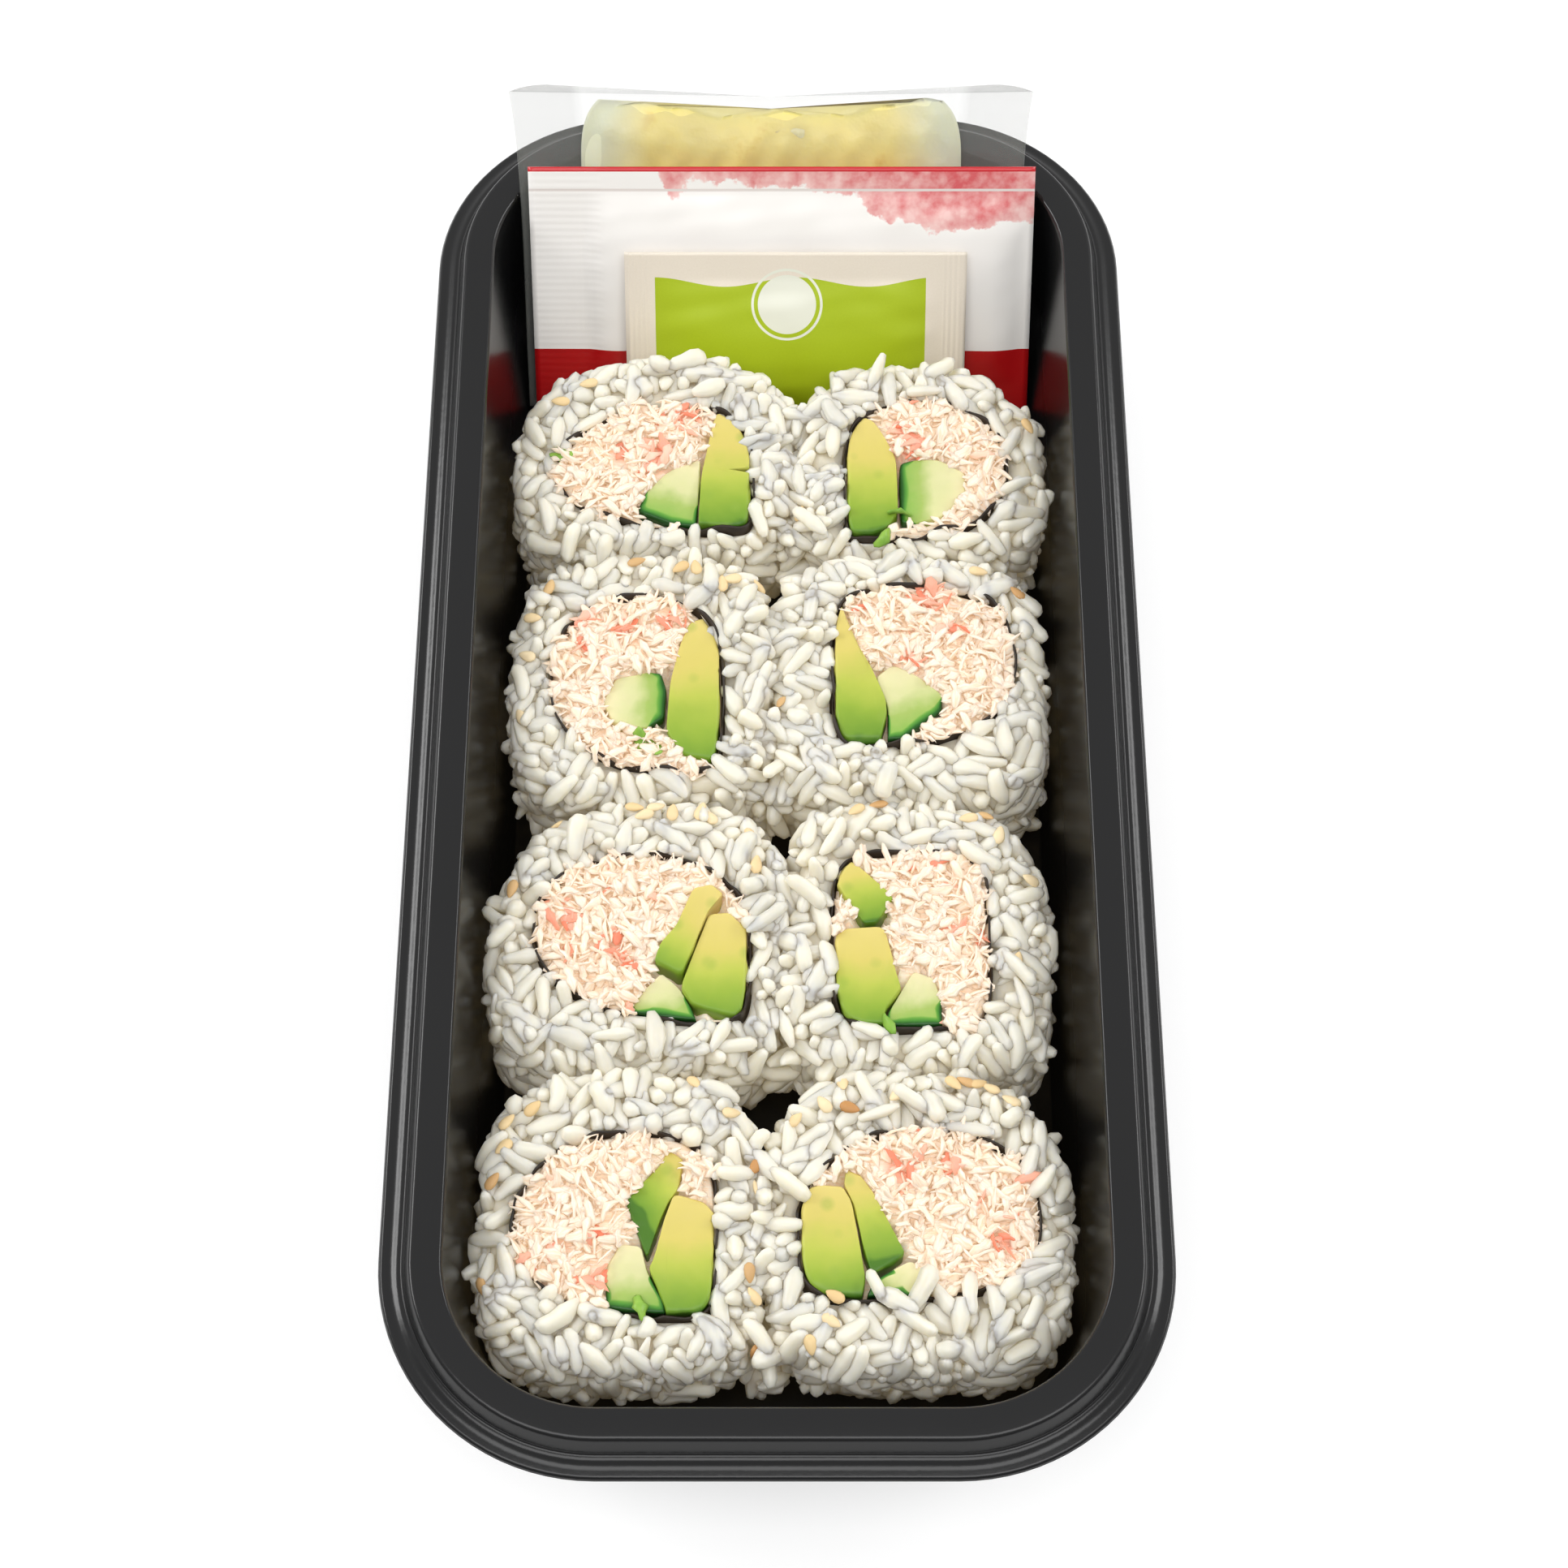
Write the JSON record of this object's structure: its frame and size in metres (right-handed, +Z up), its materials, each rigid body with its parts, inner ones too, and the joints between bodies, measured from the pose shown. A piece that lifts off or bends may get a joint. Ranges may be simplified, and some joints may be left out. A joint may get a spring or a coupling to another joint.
{
  "type": "takeaway sushi tray",
  "caption": "Open black takeaway tray packed with inside-out rolls lying cut side up, with soy, wasabi and pickled ginger sachets leaning on its back wall.",
  "frame": {"origin": "centre of the tray's underside, on the surface it stands on", "axes": "+X across the tray to the right, +Y from the front to the back wall where the sachets lean, +Z up"},
  "size_m": [0.115, 0.239, 0.0501],
  "materials": {
    "black_plastic": "thermoformed black plastic, satin on the rim and glossy inside",
    "soy_film": "white printed laminated film with red fields",
    "wasabi_film": "satin printed laminated film, lime on beige",
    "clear_film": "clear glossy plastic film round pale yellow pickled ginger",
    "rice": "moist cooked short-grain rice, slightly translucent",
    "nori": "damp roasted seaweed, near black",
    "crab": "shredded crab stick, cream with pink and orange shreds",
    "cucumber": "wet pale green cucumber flesh with a dark green skin",
    "avocado": "ripe avocado, yellow turning to green at its outer edge"
  },
  "bodies": {
    "root": {"tray": "black_plastic", "soy_sachet": "soy_film", "wasabi_sachet": "wasabi_film", "ginger_bag": "clear_film", "rice_1": "rice", "rice_2": "rice", "rice_3": "rice", "rice_4": "rice", "rice_5": "rice", "rice_6": "rice", "rice_7": "rice", "rice_8": "rice", "nori_1": "nori", "nori_2": "nori", "nori_3": "nori", "nori_4": "nori", "nori_5": "nori", "nori_6": "nori", "nori_7": "nori", "nori_8": "nori", "crab_1": "crab", "crab_2": "crab", "crab_3": "crab", "crab_4": "crab", "crab_5": "crab", "crab_6": "crab", "crab_7": "crab", "crab_8": "crab", "cucumber_1": "cucumber", "cucumber_2": "cucumber", "cucumber_3": "cucumber", "cucumber_4": "cucumber", "cucumber_5": "cucumber", "cucumber_6": "cucumber", "cucumber_7": "cucumber", "cucumber_8": "cucumber", "avocado_1": "avocado", "avocado_2": "avocado", "avocado_3": "avocado", "avocado_4": "avocado", "avocado_5a": "avocado", "avocado_5b": "avocado", "avocado_6a": "avocado", "avocado_6b": "avocado", "avocado_7a": "avocado", "avocado_7b": "avocado", "avocado_8a": "avocado", "avocado_8b": "avocado"}
  },
  "joints": []
}
